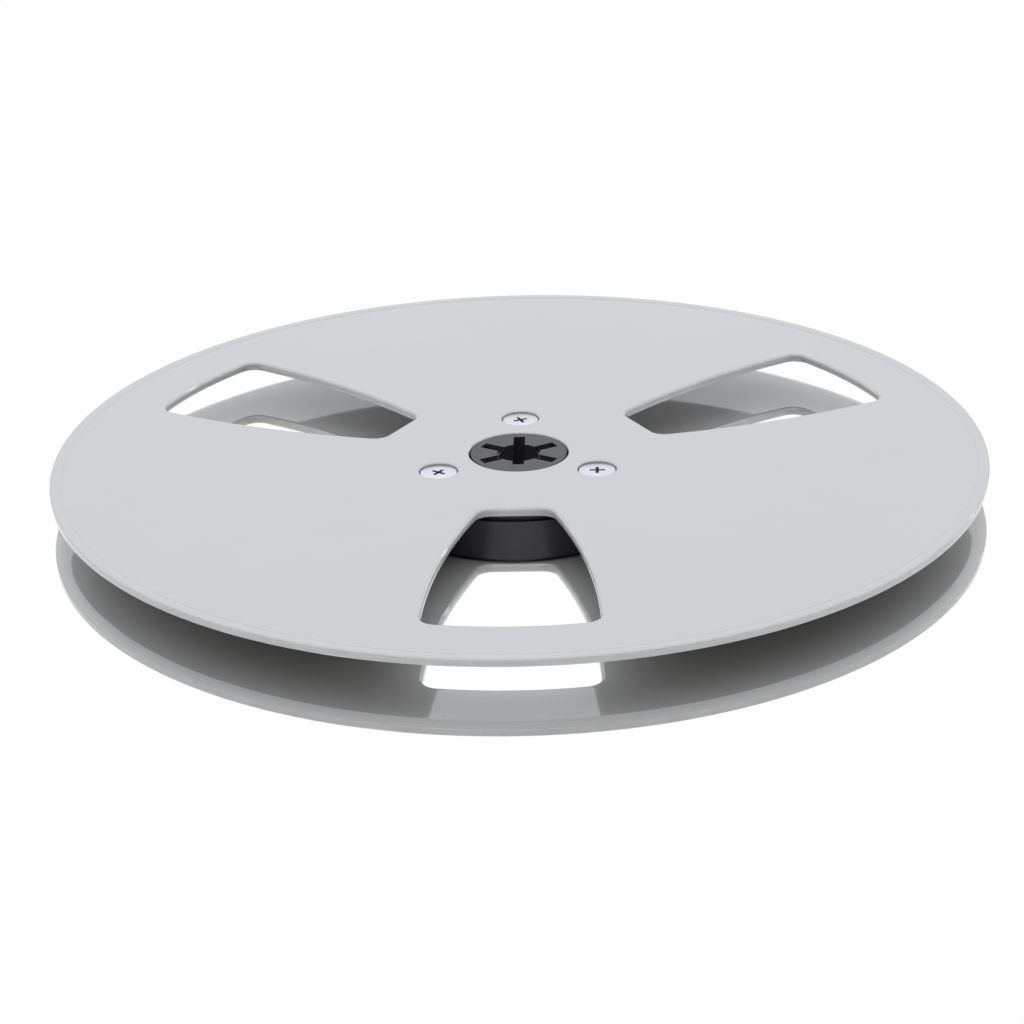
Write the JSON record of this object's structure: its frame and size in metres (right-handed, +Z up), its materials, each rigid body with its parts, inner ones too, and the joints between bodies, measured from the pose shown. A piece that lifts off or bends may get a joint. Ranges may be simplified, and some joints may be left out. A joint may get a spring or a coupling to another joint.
{
  "type": "tape reel",
  "caption": "Empty tape reel lying flat: two windowed, dished flanges screwed to a dark hub with a slotted spindle bore.",
  "frame": {"origin": "on the reel's axis, in the plane that the lower rim rests on", "axes": "+Z up along the reel's axis; -Y through the middle of one window, which faces the viewer"},
  "size_m": [0.178, 0.178, 0.0142],
  "materials": {
    "flange_plastic": "smooth pale grey moulding, glossy",
    "hub_plastic": "near-black moulding, satin",
    "zinc_steel": "bright zinc plating",
    "brass": "turned brass"
  },
  "bodies": {
    "root": {"upper_flange": "flange_plastic", "lower_flange": "flange_plastic", "hub": "hub_plastic", "upper_screw_1": "zinc_steel", "upper_screw_2": "zinc_steel", "upper_screw_3": "zinc_steel", "lower_screw_1": "zinc_steel", "lower_screw_2": "zinc_steel", "lower_screw_3": "zinc_steel", "upper_insert_1": "brass", "upper_insert_2": "brass", "upper_insert_3": "brass", "lower_insert_1": "brass", "lower_insert_2": "brass", "lower_insert_3": "brass"}
  },
  "joints": []
}
